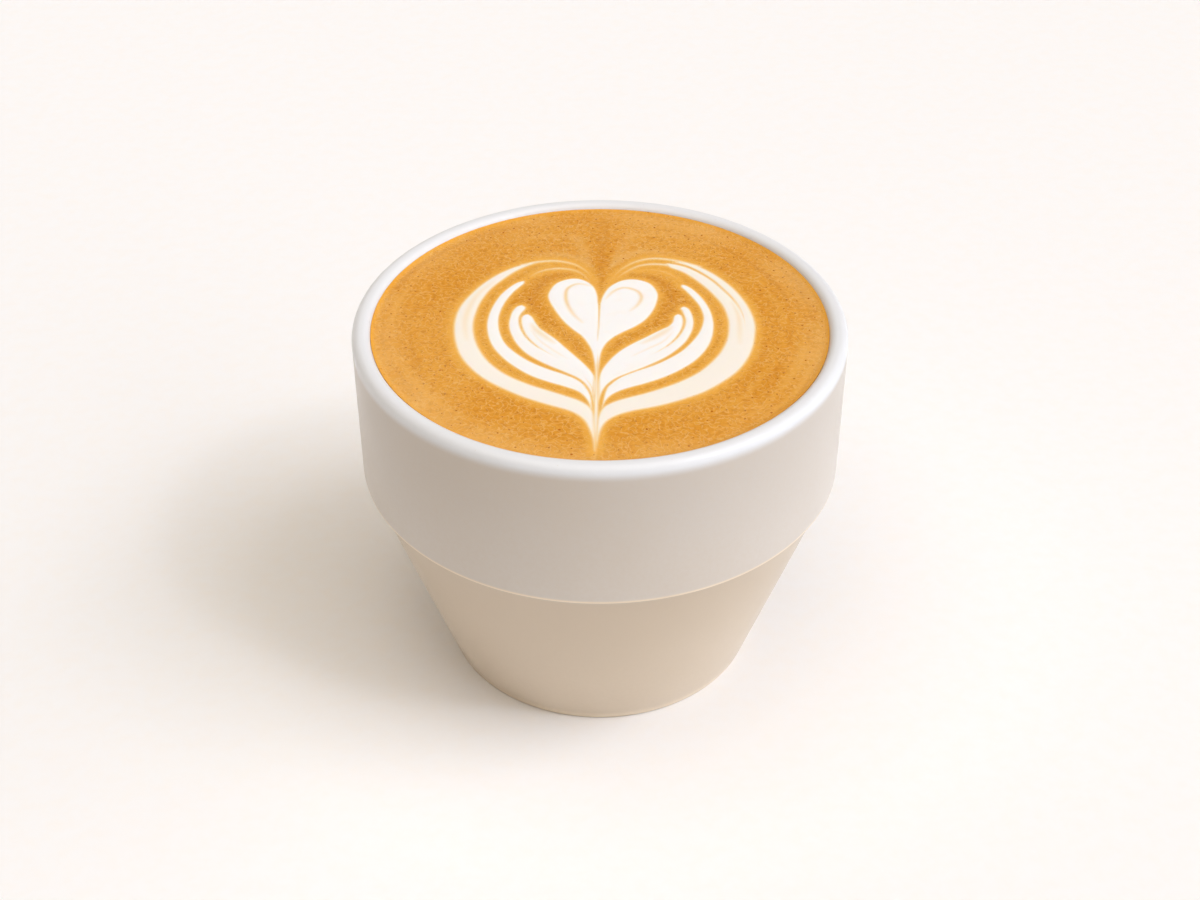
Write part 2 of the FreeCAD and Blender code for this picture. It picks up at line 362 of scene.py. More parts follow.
@dataclass(frozen=True)
class CremaFinish:
    """Crema: mottled, curled, and ringed near the wall."""

    wall_radius: float
    ring_turn: float = 2.4
    rings_from: float = 27.0
    rings_full: float = 39.0
    rings_least: float = 0.1
    rings_most: float = 0.6
    pale_reach: float = 8.0
    pale_margin: float = 0.8
    wall_reach: float = 1.0
    wall_share: float = 0.75
    clouds: Patches = Patches(55.0, 0.3, 0.75, 0.5, rough=0.5)
    outer_clouds: Patches = Patches(55.0, 0.3, 0.7, 0.6, 0.1, rough=0.5)
    dark_mottle: Patches = Patches(1020.0, 0.5, 0.68, 0.5, detail=2.0, rough=0.6)
    light_mottle: Patches = Patches(1020.0, 0.48, 0.32, 0.6, detail=2.0, rough=0.6)
    grain: Patches = Patches(3000.0, 0.52, 0.72, 0.4, detail=2.0, rough=0.6)
    light_rings: Patches = Patches(520.0, 0.5, 0.74, detail=2.0, rough=0.5)
    dark_rings: Patches = Patches(520.0, 0.46, 0.28, 0.6, detail=2.0, rough=0.5)
    curl_share: float = 0.64

    def colour(self, sketch: ShaderSketch, curls: Socket) -> Socket:
        """Builds the crema's colour.

        Args:
            sketch: The material that is being built.
            curls: How strongly a pale curl of foam shows at the point.

        Returns:
            The colour.
        """
        flat = sketch.flatten(sketch.place)
        radius = sketch.length(flat)
        heading = sketch.first("ShaderNodeVectorMath", {0: flat}, operation="NORMALIZE")
        turn = {0: heading, "Scale": self.ring_turn * METRE}
        turned = sketch.first("ShaderNodeVectorMath", turn, operation="SCALE")
        outward = sketch.first("ShaderNodeCombineXYZ", {0: radius})
        ringed = sketch.first("ShaderNodeVectorMath", {0: turned, 1: outward}, operation="ADD")
        base = sketch.mix(sketch.patches(self.clouds), Tint.CREMA, Tint.CREMA_LIGHT)
        base = sketch.mix(sketch.patches(self.dark_mottle), base, Tint.CREMA_DARK)
        base = sketch.mix(sketch.patches(self.light_mottle), base, Tint.CREMA_LIGHT)
        base = sketch.mix(sketch.patches(self.grain), base, Tint.CREMA_DARK)
        base = sketch.mix(sketch.math("MULTIPLY", curls, self.curl_share), base, Tint.CREMA_PALE)
        rings_at = self.rings_from * METRE, self.rings_full * METRE
        near_wall = sketch.span(radius, *rings_at, self.rings_least, self.rings_most)
        for rings, tint in ((self.light_rings, Tint.CREMA_LIGHT), (self.dark_rings, Tint.CREMA_DARK)):
            base = sketch.mix(sketch.math("MULTIPLY", near_wall, sketch.patches(rings, ringed)), base, tint)
        pale_at = (self.wall_radius - self.pale_reach) * METRE, (self.wall_radius - self.pale_margin) * METRE
        pale = sketch.span(radius, *pale_at, 0.0, self.wall_share)
        pale = sketch.math("MULTIPLY", pale, sketch.patches(self.outer_clouds))
        base = sketch.mix(pale, base, Tint.CREMA_PALE)
        wall_at = (self.wall_radius - self.wall_reach) * METRE, self.wall_radius * METRE
        return sketch.mix(sketch.span(radius, *wall_at, 0.0, self.wall_share), base, Tint.CREMA_RIM)


@dataclass(frozen=True)
class CoffeeFinish:
    """Crema with milk floating in it: every colour follows the distance to the milk's shore."""

    crema: CremaFinish
    halo_reach: float = 1.5
    halo_share: float = 0.75
    halo_end: float = -0.1
    milk_start: float = -0.3
    milk_full: float = 0.22
    foam_end: float = 0.4
    cream_start: float = -0.05
    cream_full: float = 0.38
    ripple: Patches = Patches(700.0, 0.2, 0.8, 0.22, -0.22, rough=0.6)
    curd: Patches = Patches(420.0, 0.5, 0.8, 0.2, rough=0.5)
    pits: Dots = Dots(620.0, 0.14, 0.03)
    pit_share: float = 0.6
    curls_per_metre: float = 980.0
    curl_detail: float = 1.0
    curl_rough: float = 0.4
    curl_width: float = 0.05
    foam_per_metre: float = 2400.0
    foam_rough: float = 0.6
    foam_on_milk: float = 0.1
    foam_metres: float = 0.00012
    foam_strength: float = 0.5
    crema_roughness: float = 0.42
    milk_roughness: float = 0.36

    def material(self) -> bpy.types.Material:
        """Returns the coffee's surface."""
        sketch = ShaderSketch("crema_and_milk")
        shore = sketch.attribute("shore")
        shade = sketch.attribute("shade")
        swirl = sketch.noise(self.curls_per_metre, self.curl_detail, self.curl_rough)
        ridge = sketch.math("ABSOLUTE", sketch.math("SUBTRACT", swirl, NOISE_MIDDLE))
        curls = sketch.span(ridge, self.curl_width, 0.0)
        base = self.crema.colour(sketch, curls)
        base = sketch.mix(sketch.span(shade, 0.0, 1.0), base, Tint.CREMA_PALE)
        base = sketch.mix(sketch.span(shade, 0.0, -1.0), base, Tint.CREMA_DARK)
        ragged = sketch.math("ADD", shore, sketch.patches(self.ripple))
        halo = sketch.span(ragged, -self.halo_reach, self.halo_end, 0.0, self.halo_share)
        base = sketch.mix(halo, base, Tint.HALO)
        milk = sketch.mix(sketch.attribute("cream"), Tint.MILK, Tint.CREAM)
        milk = sketch.mix(sketch.patches(self.curd), milk, Tint.CREAM)
        milk = sketch.mix(sketch.attribute("vein"), milk, Tint.VEIN)
        milk = sketch.mix(sketch.span(shore, self.cream_start, self.cream_full), Tint.SHORE, milk)
        base = sketch.mix(sketch.span(shore, self.milk_start, self.milk_full), base, milk)
        is_milk = sketch.span(shore, self.milk_start, self.foam_end)
        pit = sketch.math("MULTIPLY", sketch.dots(self.pits), sketch.math("SUBTRACT", 1.0, is_milk))
        fine = sketch.noise(self.foam_per_metre, Patches.detail, self.foam_rough)
        foaminess = sketch.span(is_milk, 0.0, 1.0, 1.0, self.foam_on_milk)
        foam = sketch.math("MULTIPLY", sketch.math("ADD", fine, curls), foaminess)
        height = sketch.math("SUBTRACT", foam, pit)
        return sketch.finish({
            "Base Color": sketch.mix(sketch.math("MULTIPLY", pit, self.pit_share), base, Tint.BUBBLE),
            "Roughness": sketch.span(is_milk, 0.0, 1.0, self.crema_roughness, self.milk_roughness),
            "Normal": sketch.bump(height, self.foam_metres, self.foam_strength),
            "IOR": 1.36,
            "Specular IOR Level": 0.3,
            "Subsurface Weight": 0.12,
            "Subsurface Radius": (0.0012, 0.0007, 0.0003),
            "Subsurface Scale": 1.0,
        })


@dataclass(frozen=True)
class BubbleFinish:
    """The dark wet film of a burst bubble in the crema."""

    tone: Patches = Patches(900.0, 0.35, 0.65)
    wet: float = 0.2
    dry: float = 0.4
    wrinkles: Relief = Relief(6000.0, 0.00002, 0.3)

    def material(self) -> bpy.types.Material:
        """Returns the film."""
        sketch = ShaderSketch("burst_bubble")
        tone = sketch.patches(self.tone)
        return sketch.finish({
            "Base Color": sketch.mix(tone, Tint.BUBBLE, Tint.CREMA_DARK),
            "Roughness": sketch.span(tone, 0.0, 1.0, self.wet, self.dry),
            "Normal": sketch.relief(self.wrinkles),
        })


@dataclass(frozen=True)
class TableFinish:
    """The pale matte surface that the cup stands on."""

    warmth: Patches = Patches(260.0, 0.3, 0.8, 0.12, detail=5.0, rough=0.6)
    relief_metres: float = 0.0002
    relief_strength: float = 0.05

    def material(self) -> bpy.types.Material:
        """Returns the table's paint."""
        sketch = ShaderSketch("pale_table")
        fine = sketch.noise(self.warmth.per_metre, self.warmth.detail, self.warmth.rough)
        return sketch.finish({
            "Base Color": sketch.mix(sketch.patches(self.warmth), Tint.TABLE, Tint.GLAZE_THIN_AND_LIT),
            "Roughness": 0.9,
            "Specular IOR Level": 0.1,
            "Normal": sketch.bump(fine, self.relief_metres, self.relief_strength),
        })


def smooth_run(points: np.ndarray, steps: int = 6) -> np.ndarray:
    """Draws a smooth curve through points.

    Args:
        points: One row for each point. Every column is smoothed alike.
        steps: Stretches between two neighbouring points.

    Returns:
        The curve's points, the given ones among them.
    """
    before = 2 * points[0] - points[1]
    after = 2 * points[-1] - points[-2]
    padded = np.vstack([before, points, after])
    share = np.linspace(0.0, 1.0, steps, endpoint=False)[:, None]
    stretches = []
    for first, second, third, fourth in zip(padded, padded[1:], padded[2:], padded[3:]):
        bend = 2 * first - 5 * second + 4 * third - fourth
        twist = 3 * second - 3 * third + fourth - first
        stretches.append(0.5 * (2 * second + (third - first) * share + bend * share**2 + twist * share**3))
    return np.vstack([*stretches, points[-1:]])


def nearest_on_run(places: np.ndarray, run: np.ndarray) -> tuple[np.ndarray, np.ndarray]:
    """Measures places against a run of points.

    Args:
        places: Places in the plane, one row each.
        run: The run's points, with any further columns carried along.

    Returns:
        The distance to the run and the run's further columns at the nearest point.
    """
    best = np.full(len(places), np.inf)
    carried = np.zeros((len(places), run.shape[1] - 2))
    for start, end in zip(run, run[1:]):
        along = end[:2] - start[:2]
        squared = max(float(along @ along), SMALLEST)
        share = np.clip((places - start[:2]) @ along / squared, 0.0, 1.0)
        gap = np.hypot(*(places - start[:2] - share[:, None] * along).T)
        closer = gap < best
        best[closer] = gap[closer]
        carried[closer] = start[2:] + share[closer, None] * (end[2:] - start[2:])
    return best, carried


def inside_outline(places: np.ndarray, run: np.ndarray) -> np.ndarray:
    """Tells which places a closed outline surrounds, by counting the crossings beside each.

    Args:
        places: Places in the plane, one row each.
        run: The outline's points in order, the first not repeated at the end.

    Returns:
        True for each place inside.
    """
    inside = np.zeros(len(places), dtype=bool)
    across, along = places.T
    for start, end in zip(run, np.roll(run, -1, axis=0)):
        straddles = (start[1] > along) != (end[1] > along)
        if not straddles.any():
            continue
        crossing = start[0] + (along - start[1]) * (end[0] - start[0]) / (end[1] - start[1])
        inside ^= straddles & (across < crossing)
    return inside


@dataclass(frozen=True)
class Shape:
    """A patch of milk between two edges that share their first and last points.

    The points are millimetres across and along the surface, from the tip down to the tail.
    """

    name: str
    outer: tuple[Point, ...]
    inner: tuple[Point, ...]
    softness: float = 1.0
    cream: float = 0.1

    def outline(self) -> np.ndarray:
        """Returns the closed outline."""
        outer = smooth_run(np.array(self.outer, dtype=float))
        inner = smooth_run(np.array(self.inner, dtype=float))
        return np.vstack([outer, inner[::-1][1:-1]])

    def depth(self, places: np.ndarray, reach: float) -> np.ndarray:
        """Measures how far inside the milk each place is.

        Args:
            places: Places on the surface.
            reach: Distance beyond which the exact figure doesn't matter.

        Returns:
            Millimetres inside the shore, negative outside, made gentler by the softness.
        """
        outline = self.outline()
        depth = np.full(len(places), -reach)
        low = outline.min(axis=0) - reach
        high = outline.max(axis=0) + reach
        near = ((places > low) & (places < high)).all(axis=1)
        closed = np.vstack([outline, outline[:1]])
        gap, _ = nearest_on_run(places[near], closed)
        signed = np.where(inside_outline(places[near], outline), gap, -gap)
        depth[near] = np.clip(signed / self.softness, -reach, reach)
        return depth


@dataclass(frozen=True)
class Stroke:
    """A thin line, as points across, along and wide. A width below nothing only warms the crema."""

    name: str
    points: tuple[WidePoint, ...]
    softness: float = 1.0

    def measure(self, places: np.ndarray, reach: float) -> tuple[np.ndarray, ...]:
        """Measures places against the line.

        Args:
            places: Places on the surface.
            reach: Distance beyond which the line doesn't matter.

        Returns:
            Which places are near, and for those the distance, the width and the share along the line.
        """
        run = smooth_run(np.array(self.points, dtype=float))
        run = np.column_stack([run, np.linspace(0.0, 1.0, len(run))])
        low = run[:, :2].min(axis=0) - reach
        high = run[:, :2].max(axis=0) + reach
        near = ((places > low) & (places < high)).all(axis=1)
        gap, carried = nearest_on_run(places[near], run)
        return near, gap, carried[:, 0], carried[:, 1]

    def depth(self, places: np.ndarray, reach: float) -> np.ndarray:
        """Measures how far inside the line each place is.

        Args:
            places: Places on the surface.
            reach: Distance beyond which the exact figure doesn't matter.

        Returns:
            Millimetres inside the line, negative outside, made gentler by the softness.
        """
        depth = np.full(len(places), -reach)
        near, gap, width, _ = self.measure(places, reach)
        depth[near] = np.clip((width / 2 - gap) / self.softness, -reach, reach)
        return depth


@dataclass(frozen=True)
class Shade(Stroke):
    """A soft line that only tints what it crosses, most at its middle."""

    strength: float = 0.5
    reach: float = 4.0
    thinnest: float = 0.05

    def weight(self, places: np.ndarray) -> np.ndarray:
        """Weighs how strongly the line shows at each place.

        Args:
            places: Places on the surface.

        Returns:
            The line's strength, fading over its own width and towards both its ends.
        """
        weight = np.zeros(len(places))
        near, gap, width, share = self.measure(places, self.reach)
        fade = np.sin(math.pi * share) ** 0.5
        weight[near] = self.strength * fade * np.exp(-((gap / np.maximum(width, self.thinnest)) ** 2))
        return weight


# Patches of milk, from the heart out to the rings. Places are from the axis, to the right and away.
MILK_SHAPES = (
    Shape(
        "heart_left",
        outer=((-0.3, 7), (-0.5, 10), (-1.3, 13), (-3.2, 15.2), (-5.6, 15.6), (-8.2, 14), (-9.5, 11),
               (-9.6, 8.5), (-8.5, 5), (-6.9, 1.2), (-5, -1.9), (-3.4, -4), (-2.3, -6.4), (-1.45, -9.2),
               (-0.95, -13.5), (-0.75, -19)),
        inner=((-0.3, 7), (0.3, 2), (0.4, -4), (-0.2, -10), (-0.9, -19)),
        cream=0.0,
    ),
    Shape(
        "heart_right",
        outer=((0, 7), (0.5, 9.5), (1.7, 12.6), (4, 14.9), (6.6, 15.4), (9.2, 14.1), (10.5, 11.6), (10.8, 9),
               (10, 5), (8.4, 1.4), (6.4, -1), (4, -3), (2.1, -5), (0.8, -7.4), (0.05, -11), (-0.4, -19)),
        inner=((0, 7), (-0.6, 2), (-0.8, -4), (-0.6, -10), (-0.3, -19)),
        cream=0.0,
    ),
    Shape(
        "wing_inner_left",
        outer=((-13.2, 3.3), (-14, 2.9), (-14.5, 1.4), (-14.3, -1), (-13.3, -4), (-11.6, -6.9), (-9.4, -9.8),
               (-7, -12.6), (-4.6, -15), (-2.8, -17.4), (-1.6, -20), (-1, -24)),
        inner=((-13.2, 3.3), (-12.4, 2.3), (-11.7, 0.4), (-10.9, -1.4), (-9.7, -2.9), (-7.9, -5.1), (-6, -8),
               (-4, -11), (-2.5, -13.4), (-1.3, -15.8), (-0.75, -18.2), (-0.8, -24)),
        cream=0.05,
    ),
    Shape(
        "wing_outer_left",
        outer=((-14.4, 6.4), (-15.4, 5.8), (-16.2, 3.9), (-16.6, 1), (-16.5, -1.5), (-16, -3.8),
               (-14.9, -6.8), (-13, -9.9), (-10, -12.8), (-6.2, -15.6), (-3.9, -17.4), (-2.5, -19.4),
               (-1.6, -21.9), (-1, -26)),
        inner=((-14.4, 6.4), (-13.7, 5.5), (-14, 3.9), (-14.5, 1.4), (-14.2, -1.4), (-13.2, -4.3),
               (-11.4, -7), (-8.6, -9.4), (-5.6, -12.8), (-3.2, -15.6), (-1.9, -18.6), (-1.1, -21.5),
               (-0.8, -26)),
        cream=0.15,
    ),
    Shape(
        "wing_inner_right",
        outer=((14.3, 3.3), (15, 2.7), (15.3, 0.8), (15.1, -1.2), (14.2, -3.8), (12.7, -6.4), (10.6, -9),
               (8, -11.8), (5, -14.4), (2.9, -16.4), (1.3, -18.6), (0.3, -21.2), (-0.3, -24)),
        inner=((14.3, 3.3), (13.6, 2.6), (13.2, 0.6), (12.4, -0.8), (11.3, -1.7), (9.9, -2.9), (8, -4.6),
               (6, -6.3), (4, -8.3), (2.4, -10.5), (1.1, -12.9), (0.15, -15.4), (-0.35, -18.5), (-0.5, -24)),
        cream=0.05,
    ),
    Shape(
        "wing_outer_right",
        outer=((15.4, 5.9), (16.3, 5.2), (16.9, 3.2), (17.1, 0.8), (16.9, -1.4), (16.4, -3.4), (15.4, -6),
               (13.7, -8.6), (11.4, -11.2), (8, -13.9), (5, -15.9), (2.9, -17.4), (1.4, -19.2), (0.4, -21.5),
               (-0.3, -25)),
        inner=((15.4, 5.9), (14.8, 5.1), (15, 3.6), (15.4, 1), (15.1, -1.3), (14.2, -3.8), (12.6, -6.5),
               (10.2, -8.4), (7, -11.6), (4.2, -14.2), (2, -16.3), (0.4, -18.8), (-0.35, -21.2),
               (-0.6, -25)),
        cream=0.15,
    ),
    Shape(
        "leaf_left",
        outer=((-14.3, 14.9), (-15.5, 14.3), (-16.9, 12.7), (-18.5, 10), (-19.7, 6.5), (-20.4, 3),
               (-20.6, -0.5), (-20.1, -4.5), (-19, -8), (-17, -11.5), (-14.6, -14.4), (-12, -16.8),
               (-9, -18.6), (-6, -20.1), (-3.8, -21.5), (-2.5, -23.4), (-1.7, -26), (-1.1, -31)),
        inner=((-14.3, 14.9), (-14.2, 14), (-15.1, 12.5), (-16.3, 10.4), (-17.6, 7), (-18.4, 3),
               (-18.4, -0.5), (-17.8, -4), (-16.6, -7.1), (-14.5, -10), (-12, -12.5), (-9, -14.6),
               (-6.2, -16.2), (-3.8, -18), (-2.4, -20.2), (-1.5, -23.5), (-1.1, -31)),
        cream=0.15,
    ),
    Shape(
        "leaf_right",
        outer=((15.4, 13.6), (16.5, 12.9), (17.9, 11), (19.3, 8), (20.3, 4.5), (20.7, 1), (20.6, -2),
               (20, -5.5), (18.7, -9), (16.7, -12.2), (14, -15), (11, -17.3), (8, -19), (5, -20.4),
               (2.9, -21.7), (1.4, -23.4), (0.5, -26), (-0.1, -30)),
        inner=((15.4, 13.6), (15.2, 12.7), (15.9, 11.4), (17, 9.2), (18.3, 6), (18.9, 2.5), (18.6, -0.3),
               (17.8, -3.1), (16.4, -6), (14.5, -8.9), (12, -11.4), (9.4, -13.4), (6, -15.4), (3.6, -17.1),
               (2, -19), (0.9, -21.5), (-0.1, -30)),
        cream=0.15,
    ),
    Shape(
        "ring_left",
        outer=((-11, 21.9), (-13.5, 21.2), (-16.4, 19.8), (-19.4, 17.2), (-22, 13.9), (-24.2, 10),
               (-25.8, 6), (-26.5, 2), (-26.5, -2), (-26, -6), (-24.9, -10.2), (-23, -14), (-20.4, -17.5),
               (-17, -20.5), (-13, -23.3), (-9, -25.4), (-5.6, -27), (-3.8, -28.4), (-2.6, -30.2),
               (-1.8, -32.6), (-1.2, -35.4), (-0.9, -38.5)),
        inner=((-11, 21.9), (-13.4, 20.5), (-16, 18.2), (-18, 15.6), (-20.3, 12), (-22, 7.5), (-22.8, 3),
               (-23, -0.5), (-22.6, -4.2), (-21.6, -8), (-19.9, -11.8), (-17.6, -15), (-15, -17.4),
               (-12, -19.4), (-9, -21), (-6, -22.6), (-3.6, -24), (-2, -25.6), (-1.1, -27.6), (-0.7, -31),
               (-0.9, -38.5)),
        softness=1.4,
        cream=0.75,
    ),
    Shape(
        "ring_right",
        outer=((12.5, 21.2), (15.5, 21.8), (18.6, 20.2), (21.2, 17.8), (23.8, 14.3), (26, 10), (27.6, 5),
               (28.3, 0), (28, -4), (27.3, -8), (25.9, -12.1), (23.9, -15.7), (21, -19), (17.8, -21.8),
               (14, -24), (10, -25.8), (6, -27.1), (3.3, -28.3), (1.5, -29.8), (0.5, -31.6), (-0.1, -34),
               (-0.6, -37.5)),
        inner=((12.5, 21.2), (13.4, 19.6), (16, 17.6), (18.8, 13.9), (21, 10), (22.6, 6), (23.3, 2),
               (23.3, -1.2), (22.8, -5), (21.5, -9), (19.5, -12.6), (17, -15.8), (14, -18.3), (11, -20.2),
               (7.8, -21.9), (5, -23.1), (2.6, -24.3), (0.8, -25.8), (-0.1, -27.8), (-0.6, -31),
               (-0.6, -37.5)),
        softness=1.4,
        cream=0.75,
    ),
    Shape(
        "stem",
        outer=((-0.4, -6), (-0.75, -10), (-0.85, -15), (-0.9, -20), (-1.05, -26), (-1.1, -31), (-0.95, -35),
               (-0.8, -38.5)),
        inner=((-0.4, -6), (-0.2, -10), (-0.35, -15), (-0.3, -20), (-0.25, -26), (-0.3, -31), (-0.6, -35),
               (-0.8, -38.5)),
        softness=1.5,
        cream=0.7,
    ),
)

# Thin threads of milk that curl into the cleft.
THREADS = (
    Stroke("upper_left", ((-15, 20.5, 0.6), (-12, 21.7, 0.6), (-8.5, 22.1, 0.5), (-5.2, 21, 0.3),
                          (-3.2, 19.1, 0), (-1.9, 16.8, -0.4), (-1.2, 14, -0.8)), softness=1.5),
    Stroke("lower_left", ((-13.6, 15.8, -0.6), (-12, 17.7, 0), (-10, 18.9, 0.3), (-7.5, 19.3, 0.4),
                          (-5, 18.7, 0.2), (-3.3, 17.2, 0), (-2.1, 15, -0.4),
                          (-1.3, 12.6, -0.8)), softness=1.6),
    Stroke("upper_right", ((19, 19.9, 0.7), (15, 22, 0.6), (10.6, 23, 0.5), (7.2, 22, 0.3), (4.7, 19.8, 0),
                           (3, 17.2, -0.4), (1.6, 13.6, -0.8)), softness=1.5),
    Stroke("lower_right", ((16.4, 18.4, 0.7), (13.2, 20.4, 0.6), (10, 20.9, 0.5), (7.2, 20.1, 0.3),
                           (4.8, 17.9, 0), (3.2, 15.8, -0.5), (1.8, 13, -0.9)), softness=1.5),
    Stroke("inner_right", ((7, 18.5, -0.9), (10, 18.8, -0.5), (13, 17.5, -0.4),
                           (15, 14.8, -0.9)), softness=2.0),
)

# Thin lines where the crema parts the milk.
PARTINGS = (
    Stroke("cleft", ((-0.15, 12, 0.5), (-0.15, 8, 0.3), (-0.15, 5, 0.1), (-0.2, 2, -0.15),
                     (-0.3, -1.5, -0.6))),
    Stroke("ring_right", ((8, 21.6, 0.9), (12, 21.8, 0.7), (16.6, 20, 0.45), (20.5, 16, 0.3),
                          (23.1, 11.7, 0.2), (25.1, 7.4, 0.05), (26.1, 3.4, -0.2), (26.4, 0, -0.5),
                          (26.1, -7, -1)), softness=1.2),
    Stroke("wing_left", ((-13.5, 4.7, 0.5), (-14.2, 3.4, 0.35), (-14.6, 1.6, 0.3), (-14.3, -1.2, 0.25),
                         (-13.3, -4.2, 0.15), (-11.6, -7, 0), (-9.6, -9.2, -0.3),
                         (-7.6, -11.2, -0.6)), softness=1.2),
    Stroke("wing_right", ((14.7, 4.6, 0.5), (15.1, 3.2, 0.35), (15.4, 1.2, 0.3), (15.1, -1.2, 0.25),
                          (14.2, -3.8, 0.15), (12.7, -6.4, 0), (10.8, -8.6, -0.3),
                          (8.8, -10.4, -0.6)), softness=1.2),
)

# Faint tan lines inside the milk.
VEINS = (
    Shade("heart_hook_left", ((-1.4, 12.8, 0.25), (-4, 13.7, 0.3), (-6, 12.2, 0.35), (-6.4, 9.5, 0.4),
                              (-6, 6.5, 0.4), (-4.8, 3, 0.35), (-3, 0, 0.3)), strength=0.95),
    Shade("heart_hook_right", ((0.9, 8, 0.3), (2.5, 11, 0.35), (4.6, 12.3, 0.3), (6.9, 11.2, 0.35),
                               (7.7, 9, 0.4), (7, 6.4, 0.4), (5.4, 4, 0.3)), strength=0.85),
    Shade("cleft", ((-0.15, 6, 0.12), (-0.2, 2, 0.16), (-0.3, -2, 0.16), (-0.5, -6, 0.12)), strength=0.9),
    Shade("wing_smear_left", ((-12.6, 0.4, 0.5), (-11.6, -2, 0.7), (-9.8, -4.4, 0.7),
                              (-7.8, -6.8, 0.4)), strength=0.55),
    Shade("wing_smear_right", ((13.2, -0.6, 0.6), (11.6, -2.8, 0.7), (9.6, -4.8, 0.6),
                               (7.2, -6.8, 0.4)), strength=0.5),
    Shade("wing_line_left", ((-12.6, -2, 0.2), (-11, -5.4, 0.25), (-8.6, -8.4, 0.25),
                             (-5.6, -11.6, 0.2)), strength=0.35),
    Shade("wing_line_right", ((13.4, -2.4, 0.2), (11.4, -5.8, 0.25), (8.6, -8.2, 0.25),
                              (5.4, -10.8, 0.2)), strength=0.35),
    Shade("ring_band_left", ((-19.6, 15, 0.4), (-22.6, 10.4, 0.5), (-24.2, 5, 0.6), (-24.6, 0, 0.6),
                             (-23.8, -6, 0.5)), strength=0.4),
    Shade("ring_band_right", ((24.2, 8, 0.3), (25.2, 3.6, 0.4), (25.4, 0, 0.5),
                              (25, -7, 0.5)), strength=0.4),
    Shade("stem_left", ((-1, -15, 0.16), (-1.15, -20, 0.18), (-1.2, -26, 0.2),
                        (-1.1, -34, 0.2)), strength=0.9),
    Shade("stem_right", ((-0.1, -14, 0.14), (-0.15, -19, 0.16), (-0.2, -26, 0.2),
                         (-0.5, -34, 0.2)), strength=0.8),
)

# Pale and dark breaths in the crema, positive where milk shows through it.
BREATHS = (
    Shade("far_left", ((-14, 23.6, 1.2), (-8, 24.6, 1.2), (-4.2, 22.9, 0.9), (-2, 19.4, 0.6)), strength=0.5),
    Shade("far_right", ((15, 24.6, 1.3), (8, 25.6, 1.2), (4.4, 22.9, 0.9), (2.2, 19.4, 0.6)), strength=0.5),
    Shade("sweep_left", ((-3, 30, 1), (-8, 31.6, 1.2), (-15, 30.6, 1.3), (-22, 26.4, 1.2)), strength=0.3),
    Shade("sweep_right", ((3.6, 31, 1), (9, 32.6, 1.2), (16, 31, 1.3), (23, 26.6, 1.2)), strength=0.3),
    Shade("combed_left", ((-1, 17, 0.4), (-1.9, 21, 0.8), (-3.4, 27, 1.4), (-5.4, 33, 1.8)), strength=0.4),
    Shade("combed_right", ((1.2, 17, 0.4), (2.3, 21, 0.8), (4.2, 27, 1.4), (6.6, 33, 1.8)), strength=0.4),
    Shade("cleft_trail", ((-0.1, 12, 0.7), (0.1, 18, 1.1), (0.4, 25, 1.5), (0.6, 34, 1.8),
                          (0.6, 41, 1.4)), strength=-0.32),
    Shade("lobe_left", ((-1.6, 15, 0.6), (-4, 17.3, 0.8), (-8, 17.2, 0.9), (-11.4, 13, 1), (-12.4, 7, 1),
                        (-10.4, 2, 0.9)), strength=-0.4),
    Shade("lobe_right", ((1.8, 14.8, 0.6), (4.4, 16.9, 0.8), (8.6, 16.9, 0.9), (12.4, 12.8, 1), (13.4, 7, 1),
                         (11.2, 1.6, 0.9)), strength=-0.4),
    Shade("tail_trail", ((-0.8, -36.5, 0.35), (-0.8, -39, 0.35), (-0.9, -41.3, 0.4)), strength=0.8),
)


@dataclass(frozen=True)
class MilkDrawing:
    """The poured figure, worked out as numbers for each place on the coffee."""

    shapes: tuple[Shape, ...] = MILK_SHAPES
    threads: tuple[Stroke, ...] = THREADS
    partings: tuple[Stroke, ...] = PARTINGS
    veins: tuple[Shade, ...] = VEINS
    breaths: tuple[Shade, ...] = BREATHS
    reach: float = 3.0
    cream_blend: float = 3.0

    def layers(self, places: np.ndarray) -> dict[str, np.ndarray]:
        """Works out every layer of the drawing.

        Args:
            places: Places on the surface, in millimetres from the cup's axis.

        Returns:
            The shore's distance, the cream tone, the veins and the crema's shade, by name.
        """
        LOG.info("milk drawn as %s", ", ".join(shape.name for shape in self.shapes))
        depths = np.array([shape.depth(places, self.reach) for shape in self.shapes])
        creams = np.array([shape.cream for shape in self.shapes])
        closeness = np.exp(self.cream_blend * depths)
        cream = (closeness * creams[:, None]).sum(axis=0) / closeness.sum(axis=0)
        shore = depths.max(axis=0)
        for thread in self.threads:
            shore = np.maximum(shore, thread.depth(places, self.reach))
        for parting in self.partings:
            shore = np.minimum(shore, -parting.depth(places, self.reach))
        vein = np.clip(sum(stroke.weight(places) for stroke in self.veins), 0.0, 1.0)
        shade = np.clip(sum(stroke.weight(places) for stroke in self.breaths), -1.0, 1.0)
        return {"shore": shore, "cream": cream, "vein": vein, "shade": shade}


@dataclass(frozen=True)
class Corner:
    """One corner of a half profile: its distance from the axis, its height and its rounding."""

    radius: float
    height: float
    rounding: float = 0.0

    def place(self) -> np.ndarray:
        """Returns the corner as a point of the profile's plane."""
        return np.array([self.radius, self.height])


